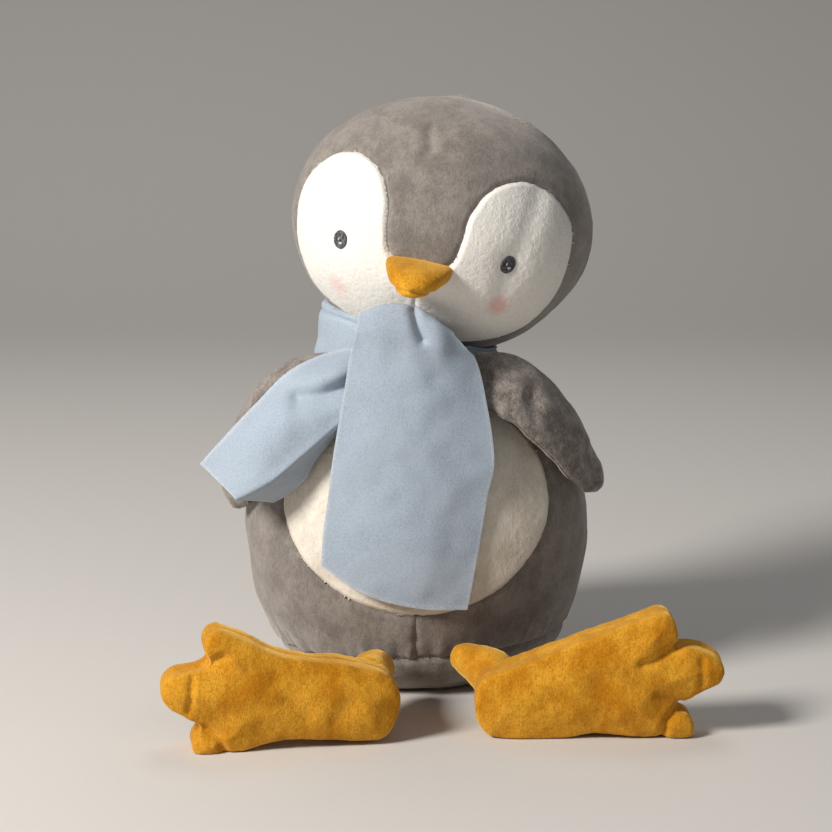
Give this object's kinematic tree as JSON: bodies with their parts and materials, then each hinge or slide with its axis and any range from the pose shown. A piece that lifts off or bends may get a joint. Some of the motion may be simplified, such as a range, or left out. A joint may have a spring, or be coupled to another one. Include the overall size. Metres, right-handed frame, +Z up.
{
  "type": "plush penguin",
  "caption": "Seated soft toy bird with a stuffed head, pear-shaped body, flipper wings, floppy legs with flat three-toed feet, and a fleece scarf tied at the neck.",
  "frame": {"origin": "middle of the flat underside that the toy sits on", "axes": "+Z up through the body to the neck, -Y the way the toy faces, +X to the right of someone who faces it"},
  "size_m": [0.2287, 0.1875, 0.249],
  "materials": {
    "grey_pile": "short velvety pile",
    "white_pile": "short dense fleece pile",
    "cream_pile": "longer brushed pile",
    "mustard_pile": "short velvety pile",
    "blue_fleece": "brushed felt-like fleece",
    "charcoal_thread": "satin stitch embroidery",
    "fibre_filling": "loose polyester fibre",
    "pellet_bag": "woven bag of plastic pellets"
  },
  "bodies": {
    "torso": {"belly_panel": "cream_pile", "base_panel": "grey_pile", "body_front_left_panel": "grey_pile", "body_front_right_panel": "grey_pile", "body_back_left_panel": "grey_pile", "body_back_right_panel": "grey_pile", "body_filling": "fibre_filling", "pellet_pouch": "pellet_bag", "scarf_collar": "blue_fleece"},
    "neck_lower": {"neck_filling_lower": "fibre_filling"},
    "neck_upper": {"neck_filling_upper": "fibre_filling"},
    "head": {"head_front_panel": "grey_pile", "head_back_left_panel": "grey_pile", "head_back_right_panel": "grey_pile", "face_left_panel": "white_pile", "face_right_panel": "white_pile", "head_filling": "fibre_filling", "beak_upper": "mustard_pile", "beak_lower": "mustard_pile", "eye_left": "charcoal_thread", "eye_right": "charcoal_thread"},
    "wing_left": {"wing_left_outer_panel": "grey_pile", "wing_left_inner_panel": "grey_pile", "wing_left_filling": "fibre_filling"},
    "wing_right": {"wing_right_outer_panel": "grey_pile", "wing_right_inner_panel": "grey_pile", "wing_right_filling": "fibre_filling"},
    "side_end": {"scarf_side_end": "blue_fleece"},
    "front_end": {"scarf_front_end": "blue_fleece"},
    "leg_left": {"leg_left_panel": "mustard_pile", "leg_left_filling": "fibre_filling"},
    "leg_right": {"leg_right_panel": "mustard_pile", "leg_right_filling": "fibre_filling"},
    "foot_left": {"foot_left_sole_panel": "mustard_pile", "foot_left_upper_panel": "mustard_pile", "foot_left_filling": "fibre_filling"},
    "foot_right": {"foot_right_sole_panel": "mustard_pile", "foot_right_upper_panel": "mustard_pile", "foot_right_filling": "fibre_filling"}
  },
  "joints": [
    {"name": "head_side_bend", "type": "hinge", "parent": "torso", "child": "neck_lower", "pos_m": [0.002, 0, 0.1392], "axis": [0, 1, 0], "range_deg": [-8, 3], "stiffness_Nm_per_rad": 0.8},
    {"name": "head_nod", "type": "hinge", "parent": "neck_lower", "child": "neck_upper", "pos_m": [0.002, 0, 0.1392], "axis": [1, 0, 0], "range_deg": [-8, 4], "stiffness_Nm_per_rad": 0.8},
    {"name": "head_turn", "type": "hinge", "parent": "neck_upper", "child": "head", "pos_m": [0.0114, -0.002, 0.1955], "axis": [0.165, 0, 0.9863], "range_deg": [-15, 15], "stiffness_Nm_per_rad": 0.3},
    {"name": "wing_left_lift", "type": "hinge", "parent": "torso", "child": "wing_left", "pos_m": [-0.036, -0.0385, 0.127], "axis": [0, 1, 0], "range_deg": [0, 45], "stiffness_Nm_per_rad": 0.05},
    {"name": "wing_right_lift", "type": "hinge", "parent": "torso", "child": "wing_right", "pos_m": [0.0345, -0.04, 0.1265], "axis": [0, -1, 0], "range_deg": [0, 50], "stiffness_Nm_per_rad": 0.05},
    {"name": "scarf_side_lift", "type": "hinge", "parent": "wing_left", "child": "side_end", "pos_m": [-0.034, -0.046, 0.133], "axis": [0, 1, 0], "range_deg": [0, 30]},
    {"name": "scarf_front_lift", "type": "hinge", "parent": "torso", "child": "front_end", "pos_m": [0, -0.05, 0.158], "axis": [-1, 0, 0], "range_deg": [0, 35]},
    {"name": "hip_left_swing", "type": "hinge", "parent": "torso", "child": "leg_left", "pos_m": [-0.015, -0.0595, 0.018], "axis": [1, 0, 0], "range_deg": [-20, 45], "stiffness_Nm_per_rad": 0.05},
    {"name": "hip_right_swing", "type": "hinge", "parent": "torso", "child": "leg_right", "pos_m": [0.018, -0.0595, 0.0185], "axis": [1, 0, 0], "range_deg": [-20, 45], "stiffness_Nm_per_rad": 0.05},
    {"name": "ankle_left_twist", "type": "hinge", "parent": "leg_left", "child": "foot_left", "pos_m": [-0.01834, -0.09988, 0.02221], "axis": [-0.1564, 0.9877, 0], "range_deg": [-30, 45], "stiffness_Nm_per_rad": 0.03},
    {"name": "ankle_right_twist", "type": "hinge", "parent": "leg_right", "child": "foot_right", "pos_m": [0.03439, -0.092, 0.01561], "axis": [0, -1, 0], "range_deg": [-30, 45], "stiffness_Nm_per_rad": 0.03}
  ]
}
